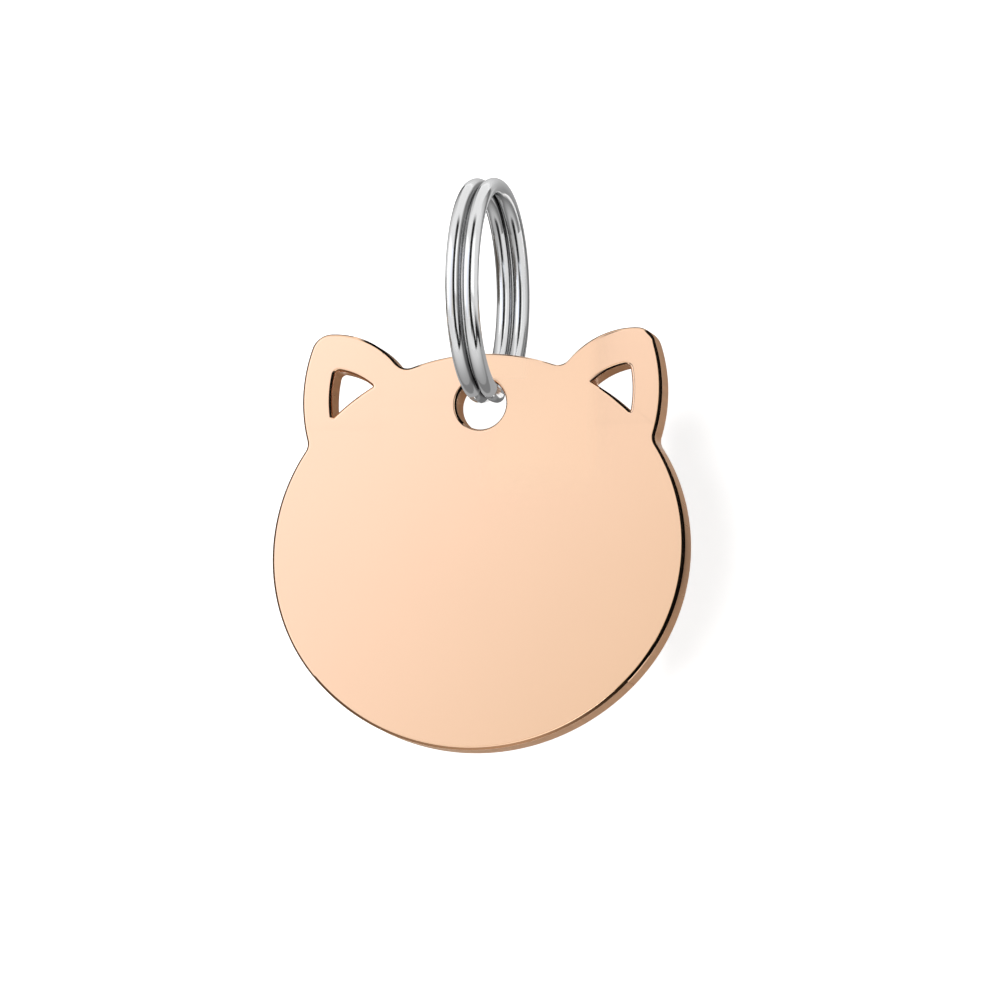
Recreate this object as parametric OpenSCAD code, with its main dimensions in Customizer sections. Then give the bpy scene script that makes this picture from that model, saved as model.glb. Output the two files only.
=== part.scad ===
// Pet id tag: a polished cat-head plate that hangs from a two-turn split ring.
// Millimetres. X runs across the tag, Y goes in through its front face, Z is up.
// The origin is the inside of the ring at its top, where a collar carries it.

/* [Head] */
// Width of the head
head_w = 28.4; // [27.6:0.1:32]
// Height of the head, without the ears
head_h = 26.6; // [24:0.1:27]
// How full the oval's shoulders are, where 0.62 comes near an ellipse
shoulder_share = 0.62; // [0.5:0.02:0.8]
// Thickness of the plate
plate_t = 2; // [1:0.1:3]

/* [Ears] */
// How far an ear stands above the top of the head
ear_rise = 1.55; // [1:0.05:2.5]
// Radius of the ear's upper side
ear_top_r = 5.8; // [5:0.1:7]
// From the head's side in to the ear's highest point
ear_peak_in = 3.8; // [3:0.1:4.6]
// Radius of the ear's outer side
ear_side_r = 10.5; // [8:0.1:14]
// From the head's side in to the ear's outer side, where the ear is widest
ear_side_in = 1.8; // [1.2:0.1:2.4]
// From the head's top down to the level where the ear is widest
ear_side_down = 2.8; // [2:0.1:3.6]
// Radius of the ear's tip
ear_tip_r = 1.4; // [0.6:0.1:2]
// Radius in the corner between the ear and the top of the head
crown_fillet_r = 1; // [0.3:0.1:2]
// Radius in the corner between the ear and the side of the head
cheek_fillet_r = 0.9; // [0.3:0.1:2]

/* [Ear cut-outs] */
// Metal between the cut-out and the ear's outer side
side_rim = 2.05; // [1.5:0.05:2.6]
// Metal above the cut-out, at its highest point
top_rim = 2.45; // [1.8:0.05:2.8]
// Radius of the cut-out's upper side
cut_top_r = 4.9; // [4.2:0.1:5.6]
// From the ear's highest point out to the cut-out's
cut_peak_out = 0.3; // [0:0.05:0.8]
// Radius of the cut-out's outer corner
cut_corner_r = 0.35; // [0.1:0.05:0.6]

/* [Hole] */
// Diameter of the hole for the split ring
hole_d = 3.4; // [3:0.1:5]
// From the head's top down to the middle of the hole
hole_down = 3.4; // [3:0.1:5]

/* [Split ring] */
// Outside diameter of the ring
ring_od = 15; // [12:0.5:24]
// Diameter of its wire
wire_d = 1.1; // [0.8:0.05:1.2]
// Space between the ring's two turns
turn_gap = 0.05; // [0.02:0.01:0.1]
// Arc over which the wire steps across from one turn to the other
step_angle = 34; // [30:1:50]
// Where the step lies, from the back of the ring down
step_at = 60; // [-60:5:65]
// From the step's end to the cut end of the wire beside it
end_angle = 4; // [2:1:12]
// Bevel round the wire's cut ends
end_bevel = 0.16; // [0.05:0.01:0.2]
// How far the ring stands turned from square to the plate
ring_turn = 1.5; // [-4:0.5:4]
// Play between the wire and the top of the hole, as the tag hangs
hang_gap = 0.06; // [0.03:0.01:0.1]

/* [Hidden] */

tag_colour = "#f6cfae";
ring_colour = "#c6c8ca";

// How far a cut runs past the faces that it goes through
cut_past = 0.5;
// Circles show this many sides in a preview
preview_sides = 96;
// Sections along each turn of the wire, and sides round it
turn_steps = 60;
wire_sides = 12;

// The head is an oval of four arcs: two broad ones along it and one round each of its ends
tall = head_h > head_w;
long_half = max(head_w, head_h) / 2;
short_half = min(head_w, head_h) / 2;
broad_share = shoulder_share * long_half / short_half;
end_share = 1 + 1 / (2 * broad_share);
broad_r = long_half + broad_share * (long_half - short_half);
broad_shift = broad_r - short_half;
end_shift = end_share * (long_half - short_half);
end_r = long_half - end_shift;
join_at = broad_r * end_share / (end_share + broad_share);

// The arc across the head's top and the one down its right-hand side
crown_r = tall ? end_r : broad_r;
crown_c = [0, tall ? end_shift : -broad_shift];
cheek_r = tall ? broad_r : end_r;
cheek_c = [tall ? -broad_shift : end_shift, 0];

// Centres of the ear's two arcs and of the cut-out's, on the right-hand side
ear_top_c = [head_w / 2 - ear_peak_in, head_h / 2 + ear_rise - ear_top_r];
ear_side_c = [head_w / 2 - ear_side_in - ear_side_r, head_h / 2 - ear_side_down];
cut_side_r = ear_side_r - side_rim;
cut_top_c = ear_top_c + [cut_peak_out, ear_top_r - top_rim - cut_top_r];

// The ring, seen along its own axis
wire_r = wire_d / 2;
turn_pitch = wire_d + turn_gap;
loop_r = ring_od / 2 - wire_r;
ring_z = wire_d - ring_od / 2;

// The wire lies in the top of the hole and comes nearest to it at the plate's faces
wire_rise = sqrt(pow(hole_d / 2 - wire_r - hang_gap, 2) - pow(turn_pitch / 2, 2));
hole_z = ring_z - sqrt(loop_r * loop_r - plate_t * plate_t / 4) - wire_rise;
head_z = hole_z + hole_down - head_h / 2;

// Where circles of radii r and s about p and q cross, to the left on the way from p to q
function crossing(p, r, q, s) =
    let (
        span = norm(q - p),
        along = (r * r - s * s + span * span) / (2 * span),
        aside = sqrt(r * r - along * along),
        u = (q - p) / span
    )
    p + along * u + aside * [-u[1], u[0]];

// Point at distance r from p, on the way to q
function towards(p, q, r) = p + r * (q - p) / norm(q - p);

module disc(c, r) {
    translate(c) circle(r, $fn = preview_sides);
}

// What two discs share, with the corner on the left of the way from p to q rounded
module pointed_lens(p, r, q, s, corner_r) {
    corner_c = crossing(p, r - corner_r, q, s - corner_r);
    on_p = towards(p, corner_c, r);
    on_q = towards(q, corner_c, s);
    tip = crossing(p, r, q, s);
    difference() {
        intersection() {
            disc(p, r);
            disc(q, s);
        }
        polygon([on_p, on_q, 2 * on_q - corner_c, 2 * tip - corner_c, 2 * on_p - corner_c]);
    }
    disc(corner_c, corner_r);
}

// Fills the corner outside two discs, on the left of the way from p to q
module corner_fill(p, r, q, s, fillet_r) {
    fillet_c = crossing(p, r + fillet_r, q, s + fillet_r);
    on_p = towards(p, fillet_c, r);
    on_q = towards(q, fillet_c, s);
    notch = crossing(p, r, q, s);
    difference() {
        polygon([fillet_c, 2 * on_p - fillet_c, 2 * notch - fillet_c, 2 * on_q - fillet_c]);
        disc(fillet_c, fillet_r);
    }
}

module head_outline() {
    rotate(tall ? 90 : 0) {
        intersection() {
            disc([0, -broad_shift], broad_r);
            disc([0, broad_shift], broad_r);
            square([2 * join_at, 2 * broad_r], center = true);
        }
        for (side = [-1, 1]) disc([side * end_shift, 0], end_r);
    }
}

module ear_outline() {
    pointed_lens(ear_side_c, ear_side_r, ear_top_c, ear_top_r, ear_tip_r);
    corner_fill(ear_side_c, ear_side_r, cheek_c, cheek_r, cheek_fillet_r);
    corner_fill(crown_c, crown_r, ear_top_c, ear_top_r, crown_fillet_r);
}

// The cut-out's lower side follows the head, so that the head's oval reads through
module ear_cutout() {
    difference() {
        pointed_lens(ear_side_c, cut_side_r, cut_top_c, cut_top_r, cut_corner_r);
        head_outline();
    }
}

module tag_outline() {
    difference() {
        union() {
            head_outline();
            for (side = [0, 1]) mirror([side, 0]) ear_outline();
        }
        for (side = [0, 1]) mirror([side, 0]) ear_cutout();
    }
}

module tag_plate() {
    color(tag_colour)
        difference() {
            translate([0, plate_t / 2, head_z])
                rotate([90, 0, 0]) linear_extrude(plate_t) tag_outline();
            translate([0, plate_t / 2 + cut_past, hole_z])
                rotate([90, 0, 0]) cylinder(d = hole_d, h = plate_t + 2 * cut_past, $fn = preview_sides);
        }
}

// The wire's run, as the angle from the middle of its step: one turn before it and one after
run_half = 360 - step_angle / 2 - end_angle;
bevel_angle = end_bevel / loop_r * 180 / PI;
run_steps = 2 * floor(turn_steps * run_half / 360);
run_angles = [
    -run_half,
    for (i = [0 : run_steps]) (2 * i / run_steps - 1) * (run_half - bevel_angle),
    run_half
];

// Share of the step that is done at an angle, easing in and out
function step_share(a) =
    let (t = min(max(a / step_angle + 0.5, 0), 1))
    t * t * (3 - 2 * t);
function step_slope(a) =
    let (t = min(max(a / step_angle + 0.5, 0), 1))
    6 * t * (1 - t) * 180 / PI / step_angle;

function outward(a) = [0, cos(a - step_at), sin(a - step_at)];
function wire_point(a) = [turn_pitch * (step_share(a) - 0.5), 0, 0] + loop_r * outward(a);
function wire_course(a) =
    let (v = [turn_pitch * step_slope(a), 0, 0] + loop_r * outward(a + 90))
    v / norm(v);

// The least space between the two turns, measured on points along the wire's middle
look_step = 2;
least_gap = min([
    for (a = [-run_half : look_step : 0])
        for (b = [a + 180 : look_step : run_half])
            norm(wire_point(a) - wire_point(b))
]) - wire_d;
echo(least_gap = least_gap);

module split_ring() {
    last = len(run_angles) - 1;
    points = [
        for (i = [0 : last])
            let (
                a = run_angles[i],
                r = i == 0 || i == last ? wire_r - end_bevel : wire_r,
                out = outward(a),
                across = cross(wire_course(a), out)
            )
            for (k = [0 : wire_sides - 1])
                let (b = 360 * k / wire_sides)
                wire_point(a) + r * (cos(b) * out + sin(b) * across)
    ];
    skin = [
        for (i = [0 : last - 1])
            for (k = [0 : wire_sides - 1])
                let (
                    next = (k + 1) % wire_sides,
                    here = i * wire_sides,
                    there = here + wire_sides
                )
                each [[here + k, there + k, there + next], [here + k, there + next, here + next]]
    ];
    first_end = [for (k = [1 : wire_sides - 2]) [0, k, k + 1]];
    last_0 = last * wire_sides;
    last_end = [for (k = [1 : wire_sides - 2]) [last_0, last_0 + k + 1, last_0 + k]];
    color(ring_colour)
        translate([0, 0, ring_z])
            rotate([0, 0, ring_turn])
                polyhedron(points, concat(skin, first_end, last_end));
}

split_ring();
tag_plate();
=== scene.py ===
"""Pet id tag: the looks of a polished cat-head plate on a two-turn split ring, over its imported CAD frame."""

import math

import bpy
from bpy.props import FloatProperty, FloatVectorProperty, IntProperty, PointerProperty
from mathutils import Matrix, Vector, geometry


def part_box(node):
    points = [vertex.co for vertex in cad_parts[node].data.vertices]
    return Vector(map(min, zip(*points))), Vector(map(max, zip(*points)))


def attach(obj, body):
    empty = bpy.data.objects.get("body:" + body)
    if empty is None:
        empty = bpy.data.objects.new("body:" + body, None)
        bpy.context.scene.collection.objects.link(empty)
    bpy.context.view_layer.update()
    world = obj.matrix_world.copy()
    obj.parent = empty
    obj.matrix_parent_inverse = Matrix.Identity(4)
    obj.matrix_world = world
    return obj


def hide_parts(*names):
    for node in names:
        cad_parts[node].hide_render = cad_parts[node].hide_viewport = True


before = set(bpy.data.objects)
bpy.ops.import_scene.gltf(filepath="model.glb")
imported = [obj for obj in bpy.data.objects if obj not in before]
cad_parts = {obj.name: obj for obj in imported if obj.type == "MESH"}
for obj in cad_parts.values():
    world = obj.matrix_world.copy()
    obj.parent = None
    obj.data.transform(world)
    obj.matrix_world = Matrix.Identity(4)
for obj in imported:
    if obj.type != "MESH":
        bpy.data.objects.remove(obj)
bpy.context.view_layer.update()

bl_info = {
    "name": "Pet id tag",
    "version": (1, 0, 0),
    "blender": (4, 5, 0),
    "location": "3D View > Sidebar > Pet Tag",
    "description": "Builds a polished cat-head id tag on a two-turn split ring",
    "category": "Add Mesh",
}

PLATE_LOW, PLATE_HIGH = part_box("tag_plate")
RING_LOW, RING_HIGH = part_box("split_ring")
MM = 0.001
FRONT, BACK = Vector((0, -1, 0)), Vector((0, 1, 0))
LEFT, RIGHT = Vector((-1, 0, 0)), Vector((1, 0, 0))
UP, DOWN = Vector((0, 0, 1)), Vector((0, 0, -1))

# Points along a rounded outline stand this far apart, and each arc has at least so many
ARC_STEP = 0.0002
LEAST_STEPS = 6


def length(name, description, default):
    """A size in metres that a user may change."""
    limits = {"min": 0, "precision": 5}
    return FloatProperty(name=name, description=description, default=default, unit="LENGTH", **limits)


def whole(name, description, default, low, high):
    """A whole number that a user may change."""
    return IntProperty(name=name, description=description, default=default, min=low, max=high)


def turn(name, description, degrees):
    """An angle that a user may change, with its default in degrees."""
    return FloatProperty(name=name, description=description, default=math.radians(degrees), unit="ROTATION")


def share(name, description, default):
    """A number from 0 to 1 that a user may change."""
    limits = {"min": 0, "max": 1}
    return FloatProperty(name=name, description=description, default=default, subtype="FACTOR", **limits)


def tone(name, description, default):
    """A colour that a user may change."""
    limits = {"size": 3, "min": 0, "max": 4}
    return FloatVectorProperty(name=name, description=description, default=default, subtype="COLOR", **limits)


class PlateSettings(bpy.types.PropertyGroup):
    """Sizes and colours of the cat-head plate"""

    head_width: length("Head width", "Width of the head", PLATE_HIGH.x - PLATE_LOW.x)
    head_height: length("Head height", "Height of the head, without its ears", 0.0266)
    shoulder_share: share("Shoulders", "How full the oval's shoulders are", 0.62)
    ear_rise: length("Ear rise", "How far an ear stands above the head", 0.00155)
    ear_top_radius: length("Ear top radius", "Radius of the ear's upper side", 0.0058)
    ear_peak_in: length("Ear peak in", "From the head's side in to the ear's highest point", 0.0038)
    ear_side_radius: length("Ear side radius", "Radius of the ear's outer side", 0.0105)
    ear_side_in: length("Ear side in", "From the head's side in to the ear's outer side", 0.0018)
    ear_side_down: length("Ear side down", "From the head's top down to where the ear is widest", 0.0028)
    ear_tip_radius: length("Ear tip radius", "Radius of the ear's tip", 0.0014)
    crown_fillet: length("Crown fillet", "Radius between the ear and the top of the head", 0.001)
    cheek_fillet: length("Cheek fillet", "Radius between the ear and the side of the head", 0.0009)
    side_rim: length("Side rim", "Metal between the cut-out and the ear's outer side", 0.00205)
    top_rim: length("Top rim", "Metal above the cut-out", 0.00245)
    cut_top_radius: length("Cut-out top radius", "Radius of the cut-out's upper side", 0.0049)
    cut_peak_out: length("Cut-out peak out", "From the ear's highest point out to the cut-out's", 0.0003)
    cut_corner: length("Cut-out corner", "Radius of the cut-out's outer corner", 0.00035)
    cut_point: length("Cut-out points", "Radius of the cut-out's two sharper corners", 0.00004)
    hole_radius: length("Hole radius", "Radius of the hole for the split ring", 0.0017)
    hole_down: length("Hole down", "From the head's top down to the middle of the hole", 0.0034)
    edge_radius: length("Edge radius", "Rounding that polishing leaves on every edge", 0.00026)
    edge_steps: whole("Edge steps", "Steps across each rounded edge", 7, 2, 16)
    gold: tone("Rose gold", "Colour of the plating", (0.975, 0.655, 0.445))
    # The walls' colour is the plating's, darkened as painted shade; their satin finish comes from roughness.
    shaded_edge_gold: tone("Edge gold", "Colour of the satin walls round the plate", (0.80, 0.54, 0.375))
    face_roughness: share("Face roughness", "Roughness of the polished faces", 0.2)
    edge_roughness: share("Edge roughness", "Roughness of the rounded edges", 0.07)
    wall_roughness: share("Wall roughness", "Roughness of the satin walls", 0.3)


class RingSettings(bpy.types.PropertyGroup):
    """Sizes and colours of the split ring"""

    outside: length("Outside diameter", "Outside diameter of the ring", 0.015)
    wire: length("Wire", "Diameter of the wire", 0.0011)
    turn_gap: length("Turn gap", "Space between the two turns", 0.00005)
    step_angle: turn("Step angle", "Arc over which the wire steps across to the other turn", 34)
    step_at: turn("Step at", "Where the step lies, from the back of the ring down", 60)
    end_angle: turn("End angle", "From the step's end to the cut end of the wire", 4)
    end_bevel: length("End bevel", "Bevel round the wire's cut ends", 0.00016)
    ring_turn: turn("Ring turn", "How far the ring stands turned from square to the plate", 1.5)
    sections: whole("Sections", "Sections along each turn", 220, 24, 720)
    sides: whole("Sides", "Sides round the wire", 32, 8, 96)
    steel: tone("Steel", "Colour of the steel", (0.78, 0.783, 0.787))
    roughness: share("Roughness", "Roughness of the polished wire", 0.14)


class StageSettings(bpy.types.PropertyGroup):
    """The camera and the light"""

    azimuth: turn("Azimuth", "Where the camera stands, round from the tag's front", 15.92)
    elevation: turn("Elevation", "How high the camera stands over the horizon", -8.96)
    roll: turn("Roll", "How far the tag leans to the right in the picture", 1.48)
    distance: length("Distance", "From the camera to the tag", 0.7)
    lens: FloatProperty(
        name="Lens", description="Focal length in millimetres", default=380.5, min=10, max=1000, unit="CAMERA"
    )
    aim_right: length("Aim right", "How far right of the plate's sighting point the camera aims", 0.001503)
    aim_up: length("Aim up", "How far above the plate's sighting point the camera aims", 0.002403)
    sight_z: FloatProperty(
        name="Sighting point",
        description="Height of the plate's sighting point",
        default=-0.023127,
        precision=6,
        unit="LENGTH",
    )
    backdrop_behind: length("Backdrop behind", "From the tag back to the backdrop", 0.045)
    floor_below: length("Floor below", "From the ring's top down to the floor", 0.2)
    paper_tone: share("Paper tone", "How much light the paper scatters", 0.8)
    paper_seen: share("Paper seen", "Glow of the paper to the camera, up to white", 0.63)
    paper_mirrored: share("Paper mirrored", "Glow of the paper in the metal", 0.4)
    world_fill: share("World fill", "Light of the world on what isn't polished", 0.3)
    lamp_azimuth: turn("Lamp azimuth", "Where the lamp stands, round from the tag's front", 11)
    lamp_elevation: turn("Lamp elevation", "How high the lamp stands over the horizon", -9)
    lamp_distance: length("Lamp distance", "From the plate to the lamp", 0.6)
    lamp_size: length("Lamp size", "Diameter of the lamp", 0.06)
    lamp_power: FloatProperty(
        name="Lamp power", description="Power of the lamp", default=1.6, min=0, unit="POWER"
    )


def crossing(p, r, q, s):
    """Where circles of radii r and s about p and q cross, to the left on the way from p to q."""
    span = (q - p).length
    along = (r * r - s * s + span * span) / (2 * span)
    aside = math.sqrt(r * r - along * along)
    u = (q - p) / span
    return p + along * u + aside * Vector((-u.y, u.x))


def towards(p, q, r):
    """The point at distance r from p, on the way to q."""
    return p + r * (q - p).normalized()


def arc(centre, radius, start, end, way, out):
    """Points from start up to end round a centre, each with its direction out of the metal."""
    first = math.atan2(start.y - centre.y, start.x - centre.x)
    sweep = (math.atan2(end.y - centre.y, end.x - centre.x) - first) * way % (2 * math.pi)
    steps = max(LEAST_STEPS, math.ceil(sweep * radius / ARC_STEP))
    made = []
    for i in range(steps):
        a = first + way * sweep * i / steps
        ray = Vector((math.cos(a), math.sin(a)))
        made.append((centre + radius * ray, out * ray))
    return made


def mirrored(run):
    """The same run of points on the other side of the plate's middle, in the opposite order."""
    return [(Vector((-p.x, p.y)), Vector((-n.x, n.y))) for p, n in reversed(run)]


def direction(azimuth, elevation):
    """The way to something that stands round from the tag's front and over the horizon by two angles."""
    level = math.cos(elevation)
    return Vector((math.sin(azimuth) * level, -math.cos(azimuth) * level, math.sin(elevation)))


class Head:
    """The circles that the head, its ears and their cut-outs are made of, on the right-hand side."""

    def __init__(self, s):
        half, rise = s.head_width / 2, s.head_height / 2
        broad_share = s.shoulder_share * half / rise
        end_share = 1 + 1 / (2 * broad_share)
        self.crown_r = half + broad_share * (half - rise)
        self.crown = Vector((0, rise - self.crown_r))
        self.chin = -self.crown
        self.cheek = Vector((end_share * (half - rise), 0))
        self.cheek_r = half - self.cheek.x
        self.shoulder = towards(self.crown, self.cheek, self.crown_r)
        self.jaw = Vector((self.shoulder.x, -self.shoulder.y))
        self.top = Vector((half - s.ear_peak_in, rise + s.ear_rise - s.ear_top_radius))
        self.side = Vector((half - s.ear_side_in - s.ear_side_radius, rise - s.ear_side_down))
        self.cut_side_r = s.ear_side_radius - s.side_rim
        self.cut_top = self.top + Vector((s.cut_peak_out, s.ear_top_radius - s.top_rim - s.cut_top_radius))
        self.rise = rise
        self.middle_z = PLATE_LOW.z + rise

    def outline(self, s):
        """The plate's outside, counter-clockwise from the middle of the chin."""
        cheek, side, top, crown = self.cheek, self.side, self.top, self.crown
        cheek_r, side_r, top_r, crown_r = self.cheek_r, s.ear_side_radius, s.ear_top_radius, self.crown_r
        tip = crossing(side, side_r - s.ear_tip_radius, top, top_r - s.ear_tip_radius)
        low = crossing(side, side_r + s.cheek_fillet, cheek, cheek_r + s.cheek_fillet)
        high = crossing(crown, crown_r + s.crown_fillet, top, top_r + s.crown_fillet)
        stops = [
            (self.chin, crown_r, Vector((0, -self.rise)), self.jaw, 1),
            (cheek, cheek_r, self.jaw, towards(cheek, low, cheek_r), 1),
            (low, s.cheek_fillet, towards(cheek, low, cheek_r), towards(side, low, side_r), -1),
            (side, side_r, low, towards(side, tip, side_r), 1),
            (tip, s.ear_tip_radius, towards(side, tip, side_r), towards(top, tip, top_r), 1),
            (top, top_r, tip, high, 1),
            (high, s.crown_fillet, towards(top, high, top_r), towards(crown, high, crown_r), -1),
            (crown, crown_r, high, Vector((0, self.rise)), 1),
        ]
        half = [step for c, r, a, b, way in stops for step in arc(c, r, a, b, way, way)]
        peak = (Vector((0, self.rise)), Vector((0, 1)))
        return half + [peak] + mirrored(half)[:-1]

    def cutout(self, s):
        """The right-hand ear's cut-out, clockwise, so that the metal is always on the left."""
        side, crown, top = self.side, self.crown, self.cut_top
        side_r, crown_r, top_r = self.cut_side_r, self.crown_r, s.cut_top_radius
        corner = crossing(side, side_r - s.cut_corner, top, top_r - s.cut_corner)
        low = crossing(side, side_r - s.cut_point, crown, crown_r + s.cut_point)
        near = crossing(crown, crown_r + s.cut_point, top, top_r - s.cut_point)
        stops = [
            (side, side_r, corner, low, -1),
            (low, s.cut_point, towards(side, low, side_r), towards(crown, low, crown_r), -1),
            (crown, crown_r, low, near, 1),
            (near, s.cut_point, towards(crown, near, crown_r), towards(top, near, top_r), -1),
            (top, top_r, near, corner, -1),
            (corner, s.cut_corner, towards(top, corner, top_r), towards(side, corner, side_r), -1),
        ]
        return [step for c, r, a, b, way in stops for step in arc(c, r, a, b, way, way)]

    def hole(self, s):
        """The hole for the split ring, clockwise like the cut-outs."""
        centre, r = Vector((0, self.rise - s.hole_down)), s.hole_radius
        low, high = centre - Vector((0, r)), centre + Vector((0, r))
        return arc(centre, r, low, high, -1, -1) + arc(centre, r, high, low, -1, -1)


def linked(data):
    """A new object for a mesh, lamp or camera, with its name and in the scene."""
    made = bpy.data.objects.new(data.name, data)
    bpy.context.scene.collection.objects.link(made)
    return made


def mesh_object(name, points, faces, corner_normals):
    """An object whose faces shade with the normals given at their corners."""
    mesh = bpy.data.meshes.new(name)
    mesh.from_pydata(points, [], faces)
    mesh.polygons.foreach_set("use_smooth", [True] * len(faces))
    mesh.normals_split_custom_set(corner_normals)
    return linked(mesh)


class Value:
    """A number that a node gives. Sums with it add Math nodes."""

    def __init__(self, finish, socket):
        self.finish = finish
        self.socket = socket

    def sum(self, operation, first, second=None):
        found = {0: first} if second is None else {0: first, 1: second}
        return self.finish.value("ShaderNodeMath", {"operation": operation}, found)

    def __add__(self, other):
        return self.sum("ADD", self, other)

    __radd__ = __add__

    def __sub__(self, other):
        return self.sum("SUBTRACT", self, other)

    def __rsub__(self, other):
        return self.sum("SUBTRACT", other, self)

    def __mul__(self, other):
        return self.sum("MULTIPLY", self, other)

    __rmul__ = __mul__

    def __truediv__(self, other):
        return self.sum("DIVIDE", self, other)

    def __rtruediv__(self, other):
        return self.sum("DIVIDE", other, self)

    def __pow__(self, other):
        return self.sum("POWER", self, other)

    def __abs__(self):
        return self.sum("ABSOLUTE", self)


class Finish:
    """A node tree, for a material or the world."""

    def __init__(self, owner):
        owner.use_nodes = True
        self.tree = owner.node_tree
        self.tree.nodes.clear()

    def node(self, kind, settings=None, sockets=None):
        """Adds a node: its settings first, then the values or links of its sockets."""
        made = self.tree.nodes.new(kind)
        for key, setting in (settings or {}).items():
            setattr(made, key, setting)
        for key, given in (sockets or {}).items():
            if isinstance(given, Value):
                given = given.socket
            if isinstance(given, bpy.types.NodeSocket):
                self.tree.links.new(given, made.inputs[key])
            else:
                made.inputs[key].default_value = given
        return made

    def value(self, kind, settings=None, sockets=None):
        """Adds a node and gives its first output as a number."""
        return Value(self, self.node(kind, settings, sockets).outputs[0])

    def parts(self, place, count):
        """The first few coordinates of a place, each as a number."""
        outputs = self.node("ShaderNodeSeparateXYZ", {}, {0: place}).outputs
        return [Value(self, outputs[i]) for i in range(count)]

    def seen_directly(self, rays):
        """1 for rays of the camera, also those that have passed through something clear."""
        found = {0: rays["Is Camera Ray"], 1: rays["Is Transmission Ray"]}
        return self.value("ShaderNodeMath", {"operation": "MAXIMUM"}, found)

    def between(self, share_of, low, high):
        """0 under low and 1 over high, eased in between."""
        sockets = {"Value": share_of, "From Min": low, "From Max": high}
        return self.value("ShaderNodeMapRange", {"interpolation_type": "SMOOTHSTEP"}, sockets)

    def blend(self, factor, first, second):
        """A colour between two others."""
        sockets = {"Factor": factor, 6: first, 7: second}
        return self.node("ShaderNodeMix", {"data_type": "RGBA"}, sockets).outputs[2]

    def noise(self, place, scale, detail, roughness):
        """Soft noise from 0 to 1 about a place."""
        sockets = {"Vector": place, "Scale": scale, "Detail": detail, "Roughness": roughness}
        return self.value("ShaderNodeTexNoise", {}, sockets)

    def stretched(self, place, scale, rotation=(0, 0, 0)):
        """A place scaled along each axis, so that a texture there is drawn out."""
        sockets = {"Vector": place, "Scale": scale, "Rotation": rotation}
        return self.node("ShaderNodeMapping", {}, sockets).outputs[0]

    def output(self, surface):
        self.node("ShaderNodeOutputMaterial", {}, {"Surface": surface})


def new_material(name):
    """An empty material and the nodes to fill it with."""
    material = bpy.data.materials.new(name)
    return material, Finish(material)


def colour(rgb):
    return (*rgb, 1.0)


def shaded(rgb, by):
    """A colour made darker or lighter by a factor, up to full white."""
    return colour([min(1, x * by) for x in rgb])


def grey(level):
    return (level,) * 3


def rose_gold(s):
    """Mirror faces, satin walls in a darkened copy of the plating's colour, which is painted shade, with fine
    cutting lines across them, and faint wiping marks.
    """
    cloud_scale, line_scale, wipe_scale, relief_depth = 90, 2600, 900, 0.00002
    material, f = new_material("rose_gold_plating")
    coordinates = f.node("ShaderNodeTexCoord")
    place = coordinates.outputs["Object"]
    _, facing = f.parts(coordinates.outputs["Normal"], 2)
    flat = f.between(abs(facing), 0.985, 0.9995)
    wall = 1 - f.between(abs(facing), 0.05, 0.35)
    cloud = f.noise(place, cloud_scale, 3, 0.55)
    lines = f.noise(f.stretched(place, (1, 0.06, 1)), line_scale, 3, 0.6)
    wipes = f.noise(f.stretched(place, (0.25, 1, 6), (0, 0.5, 0)), wipe_scale, 4, 0.65)
    gold = f.blend(cloud, shaded(s.gold, 0.985), shaded(s.gold, 1.015))
    # Painted shade: the satin walls take the plating's colour darkened, with the cutting lines in it.
    edge = f.blend(lines, shaded(s.shaded_edge_gold, 0.78), shaded(s.shaded_edge_gold, 1.18))
    roughness = s.edge_roughness + flat * (s.face_roughness - s.edge_roughness)
    roughness = (roughness + (cloud - 0.5) * 0.03 + (wipes - 0.5) * 0.02) * (1 - wall)
    roughness = roughness + wall * (s.wall_roughness + (lines - 0.5) * 0.16)
    relief = (wipes - 0.5) * 0.05 * (1 - wall) + (lines - 0.5) * wall
    bump = f.node("ShaderNodeBump", {}, {"Height": relief, "Strength": 0.12, "Distance": relief_depth})
    sockets = {
        "Base Color": f.blend(wall, gold, edge),
        "Metallic": 1.0,
        "Roughness": roughness,
        "Normal": bump.outputs[0],
    }
    f.output(f.node("ShaderNodeBsdfPrincipled", {}, sockets).outputs[0])
    return material


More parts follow.
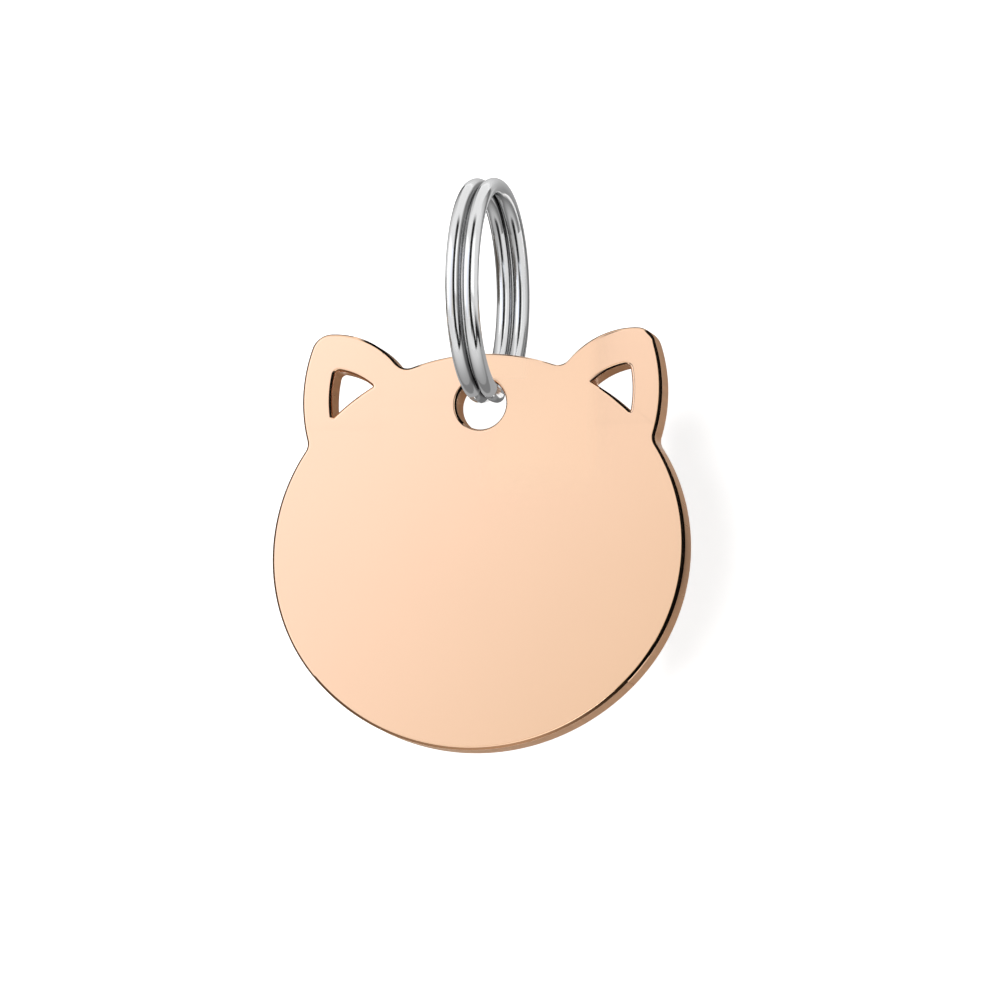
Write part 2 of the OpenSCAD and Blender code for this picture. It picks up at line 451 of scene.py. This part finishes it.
def drawn_steel(s, centre_z):
    """Polished wire with drawing lines that run round the ring, and painted shade darkening the groove between
    its turns.
    """
    line_scale, cloud_scale, line_turn, relief_depth = 9000, 500, 0.0004, 0.00001
    groove_bottom, groove_half = 0.00003, s.wire * 0.14
    material, f = new_material("polished_spring_steel")
    coordinates = f.node("ShaderNodeTexCoord")
    place = coordinates.outputs["Object"]
    across, depth, height = f.parts(place, 3)
    height = height - centre_z
    reach = (depth * depth + height * height) ** 0.5
    round_ring = f.value("ShaderNodeMath", {"operation": "ARCTAN2"}, {0: height, 1: depth})
    run = f.node("ShaderNodeCombineXYZ", {}, {0: across, 1: reach, 2: round_ring * line_turn}).outputs[0]
    lines = f.noise(run, line_scale, 3, 0.6)
    cloud = f.noise(place, cloud_scale, 3, 0.6)
    steel = f.blend(lines, shaded(s.steel, 0.93), shaded(s.steel, 1.05))
    sideways = f.parts(coordinates.outputs["Normal"], 1)[0]
    # Painted shade between the turns: where they meet, the colour goes near black, a little lighter towards
    # the ring's outside.
    between_turns = 1 - f.between(abs(across), groove_bottom, groove_half)
    groove = between_turns * f.between(abs(sideways), 0.3, 0.7)
    outer = f.between(reach, s.outside / 2 - s.wire * 0.6, s.outside / 2 - s.wire * 0.4)
    groove_shade = f.blend(outer, shaded(s.steel, 0.05), shaded(s.steel, 0.25))
    relief = lines * 0.7 + cloud * 0.3
    bump = f.node("ShaderNodeBump", {}, {"Height": relief, "Strength": 0.1, "Distance": relief_depth})
    sockets = {
        "Base Color": f.blend(groove, steel, groove_shade),
        "Metallic": 1.0,
        "Roughness": s.roughness + (lines - 0.5) * 0.08 + (cloud - 0.5) * 0.04,
        "Normal": bump.outputs[0],
    }
    f.output(f.node("ShaderNodeBsdfPrincipled", {}, sockets).outputs[0])
    return material


class PETTAG_OT_plate(bpy.types.Operator):
    """Builds the cat-head plate with rounded edges, its hole and its ear cut-outs"""

    bl_idname = "pettag.plate"
    bl_label = "Build the plate"

    def execute(self, context):
        s = context.scene.pettag_plate
        head = Head(s)
        front_y, edge_r = (PLATE_LOW.y - PLATE_HIGH.y) / 2, s.edge_radius
        right = head.cutout(s)
        loops = [head.outline(s), head.hole(s), right, mirrored(right)]
        quarter = [math.pi / 2 * k / s.edge_steps for k in range(s.edge_steps + 1)]
        front = [(edge_r * (1 - math.sin(a)), front_y + edge_r * (1 - math.cos(a)), a) for a in quarter]
        profile = front + [(inset, -y, math.pi - a) for inset, y, a in reversed(front)]
        points, faces, normals, starts = [], [], [], []
        for loop in loops:
            count, first = len(loop), len(points)
            starts.append((first, count))
            lit = []
            for inset, y, a in profile:
                for p, out in loop:
                    q = p - inset * out
                    points.append((q.x, y, head.middle_z + q.y))
                    lit.append(Vector((math.sin(a) * out.x, -math.cos(a), math.sin(a) * out.y)))
            for row in range(len(profile) - 1):
                for k in range(count):
                    n = (k + 1) % count
                    face = [row * count + k, (row + 1) * count + k, (row + 1) * count + n, row * count + n]
                    faces.append([first + v for v in face])
                    normals += [lit[v] for v in face]
        for last, way in ((False, -1), (True, 1)):
            rims = [[f + (len(profile) - 1) * c * last + k for k in range(c)] for f, c in starts]
            order = [v for rim in rims for v in rim]
            flat_rims = [[Vector((points[v][0], points[v][2], 0)) for v in rim] for rim in rims]
            for a, b, c in geometry.tessellate_polygon(flat_rims):
                corners = [order[a], order[b], order[c]]
                p, q, r = (points[v] for v in corners)
                if ((q[0] - p[0]) * (r[2] - p[2]) - (q[2] - p[2]) * (r[0] - p[0])) * way > 0:
                    corners.reverse()
                faces.append(corners)
                normals += [Vector((0, way, 0))] * 3
        plate = mesh_object("cat_head_plate", points, faces, normals)
        plate.data.materials.append(rose_gold(s))
        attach(plate, "tag_plate")
        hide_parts("tag_plate")
        return {"FINISHED"}


class PETTAG_OT_ring(bpy.types.Operator):
    """Winds the split ring's wire: two turns, the step between them and its two cut ends"""

    bl_idname = "pettag.ring"
    bl_label = "Wind the split ring"

    def execute(self, context):
        s = context.scene.pettag_ring
        wire_r, pitch = s.wire / 2, s.wire + s.turn_gap
        loop_r, centre_z = s.outside / 2 - wire_r, s.wire - s.outside / 2
        run_half = 2 * math.pi - s.step_angle / 2 - s.end_angle
        bevel = s.end_bevel / loop_r
        steps = 2 * s.sections
        even = [(2 * i / steps - 1) * (run_half - bevel) for i in range(steps + 1)]
        angles = [-run_half, *even, run_half]
        turned = Matrix.Translation((0, 0, centre_z)) @ Matrix.Rotation(s.ring_turn, 4, "Z")
        points, sides = [], []
        for i, a in enumerate(angles):
            t = min(max(a / s.step_angle + 0.5, 0), 1)
            out = Vector((0, math.cos(a - s.step_at), math.sin(a - s.step_at)))
            along = Vector((0, -math.sin(a - s.step_at), math.cos(a - s.step_at)))
            middle = Vector((pitch * (t * t * (3 - 2 * t) - 0.5), 0, 0)) + loop_r * out
            course = (Vector((pitch * 6 * t * (1 - t) / s.step_angle, 0, 0)) + loop_r * along).normalized()
            aside = course.cross(out)
            radius = wire_r - s.end_bevel if i in (0, len(angles) - 1) else wire_r
            for k in range(s.sides):
                b = 2 * math.pi * k / s.sides
                ray = math.cos(b) * out + math.sin(b) * aside
                points.append(turned @ (middle + radius * ray))
                sides.append((turned.to_3x3() @ ray, turned.to_3x3() @ course))
        faces, normals = [], []
        last = len(angles) - 1
        for i in range(last):
            lean = {0: -1, last - 1: 1}.get(i, 0)
            for k in range(s.sides):
                n = (k + 1) % s.sides
                face = [i * s.sides + k, i * s.sides + n, (i + 1) * s.sides + n, (i + 1) * s.sides + k]
                faces.append(face)
                normals += [(sides[v][0] + lean * sides[v][1]).normalized() for v in face]
        for i, way in ((0, -1), (last, 1)):
            rim = [i * s.sides + k for k in range(s.sides)]
            faces.append(rim[::-1] if way < 0 else rim)
            normals += [way * sides[i * s.sides][1]] * s.sides
        ring = mesh_object("two_turn_ring", points, faces, normals)
        ring.data.materials.append(drawn_steel(s, centre_z))
        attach(ring, "split_ring")
        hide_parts("split_ring")
        return {"FINISHED"}


def reflected(name, points, faces, places, low, high=None, fade=(0, 1), soft=(0, 0)):
    """A surface that only shows in metal before it. It isn't part of the tag, and light falls through it.

    Its places run from 0 to 1 across and up it. The colour goes from low to high by as much of either as
    fade says, and soft is the share of either that is let fade out at both sides."""
    mesh = bpy.data.meshes.new(name)
    mesh.from_pydata(points, [], faces)
    across = mesh.uv_layers.new(name="across")
    for corner in mesh.loops:
        across.data[corner.index].uv = places[corner.vertex_index]
    material, f = new_material(name)
    u, v = f.parts(f.node("ShaderNodeTexCoord").outputs["UV"], 2)
    mix = f.between(u * fade[0] + v * fade[1], 0, 1)
    lit = f.node("ShaderNodeEmission", {}, {0: f.blend(mix, colour(low), colour(high or low))}).outputs[0]
    clear = f.node("ShaderNodeBsdfTransparent").outputs[0]
    shown = 1 - Value(f, f.node("ShaderNodeNewGeometry").outputs["Backfacing"])
    for part, margin in ((u, soft[0]), (v, soft[1])):
        if margin:
            shown = shown * f.between(0.5 - abs(part - 0.5), 0, margin)
    f.output(f.node("ShaderNodeMixShader", {}, {0: shown, 1: clear, 2: lit}).outputs[0])
    mesh.materials.append(material)
    made = linked(mesh)
    made.visible_camera = made.visible_diffuse = made.visible_shadow = False
    return made


def card(name, at, size, faces, **look):
    """A flat card for the metal to reflect, with its middle and its size in millimetres."""
    w, h = (MM * side / 2 for side in size)
    points = [(-w, -h, 0), (w, -h, 0), (w, h, 0), (-w, h, 0)]
    made = reflected(name, points, [(0, 1, 2, 3)], [(0, 0), (1, 0), (1, 1), (0, 1)], **look)
    made.location = MM * Vector(at)
    made.rotation_mode = "QUATERNION"
    made.rotation_quaternion = faces.to_track_quat("Z", "Y")


def hoop(name, span, radius, start, end, widest=None, **look):
    """A strip bent about the split ring's axis, from one angle over the horizon in front of it to another.

    Its span across and its radius are in millimetres. With a widest angle it narrows away from there."""
    steps, before, after = 48, 0.4, 0.7
    middle_z, middle_x = (RING_LOW.z + RING_HIGH.z) / 2, sum(span) / 2
    points, places = [], []
    for i in range(steps + 1):
        a = math.radians(start + (end - start) * i / steps)
        off = 0 if widest is None else a - math.radians(widest)
        width = math.cos(off * (after if off > 0 else before))
        for u, x in ((0, span[1]), (1, span[0])):
            x = MM * (middle_x + width * (x - middle_x))
            points.append((x, -MM * radius * math.cos(a), middle_z + MM * radius * math.sin(a)))
            places.append((u, i / steps))
    faces = [(2 * i, 2 * i + 1, 2 * i + 3, 2 * i + 2) for i in range(steps)]
    reflected(name, points, faces, places, **look)


def outer_surround(s, tint):
    """A frame behind the plate's outline, for its walls to reflect, open where the split ring passes."""
    reach, behind, ring_clear = 0.0025, 0.002, 0.003
    head = Head(s)
    rim = [p + s.edge_radius * out for p, out in head.outline(s)]
    far = [p + reach * out for p, out in head.outline(s)]
    count = len(rim)
    points = [(q.x, PLATE_HIGH.y + behind, head.middle_z + q.y) for q in rim + far]
    kept = [k for k in range(count) if abs(rim[k].x) >= ring_clear or rim[k].y <= 0]
    faces = [(k, count + k, count + (k + 1) % count, (k + 1) % count) for k in kept]
    reflected("outer_surround", points, faces, [(0, 0)] * len(points), tint)


def inner_surround(s, tint):
    """Sheets close behind the cut-outs and the left part of the hole, for their walls to reflect."""
    behind, hole_part = 0.00005, -0.0008
    head = Head(s)
    right = head.cutout(s)
    hole = [(Vector((min(p.x, hole_part), p.y)), out) for p, out in head.hole(s)]
    points, faces = [], []
    for loop in (right, mirrored(right), hole):
        first = len(points)
        points += [(p.x, PLATE_HIGH.y + behind, head.middle_z + p.y) for p, _ in loop]
        faces.append(tuple(reversed(range(first, len(points)))))
    reflected("inner_surround", points, faces, [(0, 0)] * len(points), tint)


def skirt(name, s, span, **look):
    """A strip along the head's lower outline, beside its front bevel, over a span across in millimetres."""
    away, half = 0.0012, 0.0016
    head = Head(s)
    left, right = (MM * end for end in span)
    rim = [p + away * out for p, out in head.outline(s) if p.y < 0 and left < p.x < right]
    rim.sort(key=lambda p: p.x)
    first, width = rim[0].x, rim[-1].x - rim[0].x
    points = [(p.x, y, head.middle_z + p.y) for p in rim for y in (PLATE_LOW.y - half, PLATE_LOW.y + half)]
    places = [((p.x - first) / width, v) for p in rim for v in (0, 1)]
    faces = [(2 * k, 2 * k + 2, 2 * k + 3, 2 * k + 1) for k in range(len(rim) - 1)]
    reflected(name, points, faces, places, fade=(1, 0), **look)


def paper(s):
    """White paper, which also shows in the metal.

    To the camera it glows past white, but for the patch at the plate's right where its faint shadow stays."""
    material, f = new_material("backdrop_paper")
    rays = f.node("ShaderNodeLightPath").outputs
    seen = f.seen_directly(rays)
    matt = f.node("ShaderNodeBsdfDiffuse", {}, {"Color": colour(grey(s.paper_tone))}).outputs[0]
    x, _, z = f.parts(f.node("ShaderNodeTexCoord").outputs["Object"], 3)
    patch_left, patch_top, patch_foot = (-0.001, 0.0015), (0.002, 0.009), (-0.032, -0.024)
    at_plate = f.between(0 - z, *patch_top) * f.between(z, *patch_foot)
    patch = f.between(x, *patch_left) * at_plate * seen
    tint = f.blend(patch, colour(grey(1.4)), colour(grey(1.0)))
    strength = seen * s.paper_seen + Value(f, rays["Is Glossy Ray"]) * s.paper_mirrored
    glow = f.node("ShaderNodeEmission", {}, {"Color": tint, "Strength": strength}).outputs[0]
    lit = f.node("ShaderNodeAddShader", {}, {0: matt, 1: glow}).outputs[0]
    clear = f.node("ShaderNodeBsdfTransparent").outputs[0]
    behind = f.node("ShaderNodeNewGeometry").outputs["Backfacing"]
    f.output(f.node("ShaderNodeMixShader", {}, {0: behind, 1: lit, 2: clear}).outputs[0])
    return material


class PETTAG_OT_stage(bpy.types.Operator):
    """Places the camera, the white backdrop and floor, the lamp and the cards that the metal reflects"""

    bl_idname = "pettag.stage"
    bl_label = "Set the stage"

    def execute(self, context):
        scene = context.scene
        s = scene.pettag_stage
        scene.view_settings.view_transform = "Standard"
        self.camera(scene, s)
        self.world(scene, s)
        self.backdrop(s)
        self.lamp(s)
        self.room_cards()
        self.ring_cards()
        self.wall_cards(scene.pettag_plate)
        return {"FINISHED"}

    def camera(self, scene, s):
        back = direction(s.azimuth, s.elevation)
        right = UP.cross(back).normalized()
        up = back.cross(right)
        lean = Matrix.Rotation(s.roll, 3, back)
        right, up = lean @ right, lean @ up
        sight = Vector((0, PLATE_LOW.y, s.sight_z))
        data = bpy.data.cameras.new("camera")
        data.lens = s.lens
        data.sensor_width = 36
        data.clip_start, data.clip_end = 0.01, 20
        made = linked(data)
        made.location = sight + s.distance * back
        aim = sight + s.aim_right * right + s.aim_up * up
        look = (aim - made.location).normalized()
        side = look.cross(up).normalized()
        made.rotation_mode = "QUATERNION"
        made.rotation_quaternion = Matrix((side, side.cross(look), -look)).transposed().to_quaternion()
        scene.camera = made

    def world(self, scene, s):
        """White to the camera and in the metal, and dimmer as a light on anything else."""
        scene.world = bpy.data.worlds.new("studio")
        f = Finish(scene.world)
        rays = f.node("ShaderNodeLightPath").outputs
        found = {0: f.seen_directly(rays), 1: rays["Is Glossy Ray"]}
        seen = f.value("ShaderNodeMath", {"operation": "MAXIMUM"}, found)
        strength = seen * (1 - s.world_fill) + s.world_fill
        light = f.node("ShaderNodeBackground", {}, {0: colour(grey(1.0)), 1: strength})
        f.node("ShaderNodeOutputWorld", {}, {0: light.outputs[0]})

    def backdrop(self, s):
        """One sheet: down behind the tag, round a wide bend and out along the floor."""
        bend, half_width, top, out, bend_steps = 0.12, 1.2, 0.9, 1.2, 24
        line = [(s.backdrop_behind, top), (s.backdrop_behind, bend - s.floor_below)]
        for k in range(1, bend_steps + 1):
            a = math.pi / 2 * k / bend_steps
            y, z = s.backdrop_behind - bend * (1 - math.cos(a)), bend * (1 - math.sin(a)) - s.floor_below
            line.append((y, z))
        line.append((-out, -s.floor_below))
        points = [(x, y, z) for y, z in line for x in (-half_width, half_width)]
        faces = [(2 * i, 2 * i + 2, 2 * i + 3, 2 * i + 1) for i in range(len(line) - 1)]
        mesh = bpy.data.meshes.new("backdrop")
        mesh.from_pydata(points, [], faces)
        mesh.polygons.foreach_set("use_smooth", [True] * len(faces))
        mesh.materials.append(paper(s))
        linked(mesh)

    def lamp(self, s):
        """A soft lamp that casts the tag's shadow and shows in nothing."""
        back = direction(s.lamp_azimuth, s.lamp_elevation)
        plate_middle = Vector((0, 0, -0.024))
        data = bpy.data.lights.new("soft_lamp", "AREA")
        data.shape = "DISK"
        data.size = s.lamp_size
        data.energy = s.lamp_power
        made = linked(data)
        made.location = plate_middle + s.lamp_distance * back
        made.rotation_mode = "QUATERNION"
        made.rotation_quaternion = back.to_track_quat("Z", "Y")
        made.visible_glossy = False

    def room_cards(self):
        """What the face reflects, the light about the tag, and what keeps the ring's cards off the face."""
        white, pale, paler = grey(1.4), (0.98, 0.99, 1.025), (1.0, 1.04, 1.09)
        card("face_card", (-21, -67.5, -13), (110, 90), Vector((0.271, 0.95, -0.156)),
             low=(0.63, 0.568, 0.425), high=(1.40, 1.49, 1.76), fade=(0.6, 0.4))
        card("clear_of_ring", (4.25, -1.35, -14), (9.5, 14.5), BACK,
             low=pale, high=paler, fade=(1, 0), soft=(0.2, 0.22))
        card("clear_crown", (1.2, -1.3, -10.95), (4, 3.3), BACK, low=paler, soft=(0.1, 0.06))
        card("light_left", (-160, -110, 40), (180, 200), Vector((0.16, 0.11, 0)), low=white)
        card("light_right", (100, -80, 50), (160, 160), Vector((-0.10, 0.08, 0)), low=white)
        card("sky", (0, 0, 70), (140, 140), DOWN, low=grey(1.0))

    def ring_cards(self):
        """The dark streaks along the split ring's wire and the greys that its turns reflect."""
        black, dim = grey(0.004), grey(0.05)
        hoop("near_streak", (-1, 4.2), 14, -50, 55, low=black, soft=(0.25, 0.12))
        hoop("far_streak", (-3.6, 4.3), 3.8, -110, 148, widest=22, low=black, soft=(0.25, 0))
        card("ring_floor", (0, 2.5, -10.4), (24, 14), UP, low=grey(0.3), high=grey(0.9))
        card("ring_floor_streak", (0.3, 2.5, -10.3), (5.4, 14), UP, low=black, soft=(0.25, 0))
        card("shelf", (0, -4.4, -14.2), (14, 4), UP, low=grey(0.4), high=grey(0.85))
        card("shelf_rear", (0, -1.8, -14.2), (14, 1.2), UP, low=grey(0.25))
        # A dark sheet just before the plate's face, which the ring reflects in place of the bright face:
        # painted shade in the ring's reflection.
        card("front_of_plate", (0, -1.2, -15.7), (22, 11.6), FRONT,
             low=grey(0.08), high=grey(0.45), fade=(0, 1.6))
        card("back_of_plate", (0, 2, -21.5), (30, 23.4), BACK, low=grey(0.03), soft=(0, 0.1))
        card("under_ring_floor", (0, 1.6, -14.3), (3.6, 3), UP, low=grey(0.3))
        card("ring_inside", (0, 4.5, -3.5), (6, 4.6), FRONT, low=grey(0.75), high=grey(0.12), soft=(0, 0.2))
        card("under_ring", (0.3, 1.06, -14.2), (1.8, 2.2), FRONT, low=grey(0.2))
        card("ring_side_left", (-20, 12.5, 11), (35, 38), RIGHT, low=grey(0.8), high=dim, fade=(1, 0))
        card("ring_side_right", (20, 15, 11), (30, 38), LEFT, low=dim, high=grey(0.8), fade=(1, 0))
        card("ring_right_near", (5, -6.5, -4.5), (6, 15), LEFT, low=grey(0.9), soft=(0.2, 0.2))
        card("ring_right_far", (3.5, 3.65, -4.5), (5.3, 15), LEFT, low=grey(0.9), soft=(0.2, 0.2))
        card("ring_back", (0, 30, 16), (40, 48), FRONT, low=grey(0.3), high=grey(0.85))

    def wall_cards(self, plate):
        """The black of the plate's bevels and the browns of its walls."""
        black, brown, light_brown = grey(0.004), (0.12, 0.10, 0.08), (0.45, 0.36, 0.29)
        card("side_right", (15.5, -5, -20.1), (16, 27.8), LEFT, low=black)
        card("side_right_low", (18, -28.5, -67), (63, 66), LEFT, low=black)
        card("side_left", (-17, 4.3, -23), (15.5, 38), RIGHT, low=(0.10, 0.085, 0.07))
        card("left_ear_side", (-6.8, -20.6, -13.4), (38.9, 6.5), LEFT, low=black)
        card("roof_left", (-6.7, 1.9, -9.62), (7.2, 4.6), Vector((-0.41, 0, -0.912)),
             low=black, soft=(0, 0.2))
        card("roof_right", (14.35, -1, -6.2), (6.3, 12), DOWN, low=black, soft=(0.15, 0))
        card("rear_roof_left", (-12.6, 3.5, -6.5), (6.8, 9), DOWN, low=grey(0.25))
        card("rear_roof_right", (7.7, 3.5, -6.5), (7.4, 9), DOWN, low=grey(0.25))
        card("right_cut_roof", (10.06, -0.12, -14.25), (2.26, 4.7), Vector((-0.646, 0, -0.763)), low=black)
        card("ear_screen", (-7.4, 1.2, -9.1), (4.4, 3), RIGHT, low=grey(0.25))
        card("right_cut_floor", (10.5, -2.9, -15.8), (8, 3.5), UP, low=black)
        card("left_cut_floor", (-10.5, -2.9, -15.8), (8, 3.5), UP, low=(0.16, 0.13, 0.10))
        card("hole_side", (-1.2, -1.18, -14.1), (1.15, 3.1), LEFT, low=black)
        skirt("skirt_left", plate, (-11.5, 2.6), low=brown, high=light_brown)
        skirt("skirt_right", plate, (2.2, 10.5), low=light_brown, high=(0.02, 0.015, 0.01))
        outer_surround(plate, (0.448, 0.34, 0.247))
        inner_surround(plate, (0.30, 0.203, 0.134))


class PETTAG_PT_panel(bpy.types.Panel):
    """Lists the tag's build steps"""

    bl_idname = "PETTAG_PT_panel"
    bl_label = "Pet id tag"
    bl_space_type = "VIEW_3D"
    bl_region_type = "UI"
    bl_category = "Pet Tag"

    def draw(self, context):
        for step in STEPS:
            self.layout.operator(step.bl_idname)


STEPS = (PETTAG_OT_stage, PETTAG_OT_plate, PETTAG_OT_ring)
SETTINGS = {"pettag_plate": PlateSettings, "pettag_ring": RingSettings, "pettag_stage": StageSettings}


def register():
    for kind in (*SETTINGS.values(), *STEPS, PETTAG_PT_panel):
        bpy.utils.register_class(kind)
    for name, kind in SETTINGS.items():
        setattr(bpy.types.Scene, name, PointerProperty(type=kind))


def unregister():
    for name in SETTINGS:
        delattr(bpy.types.Scene, name)
    for kind in (PETTAG_PT_panel, *reversed(STEPS), *reversed(list(SETTINGS.values()))):
        bpy.utils.unregister_class(kind)


def main():
    register()
    bpy.ops.pettag.stage()
    bpy.ops.pettag.plate()
    bpy.ops.pettag.ring()


if __name__ == "__main__":
    main()
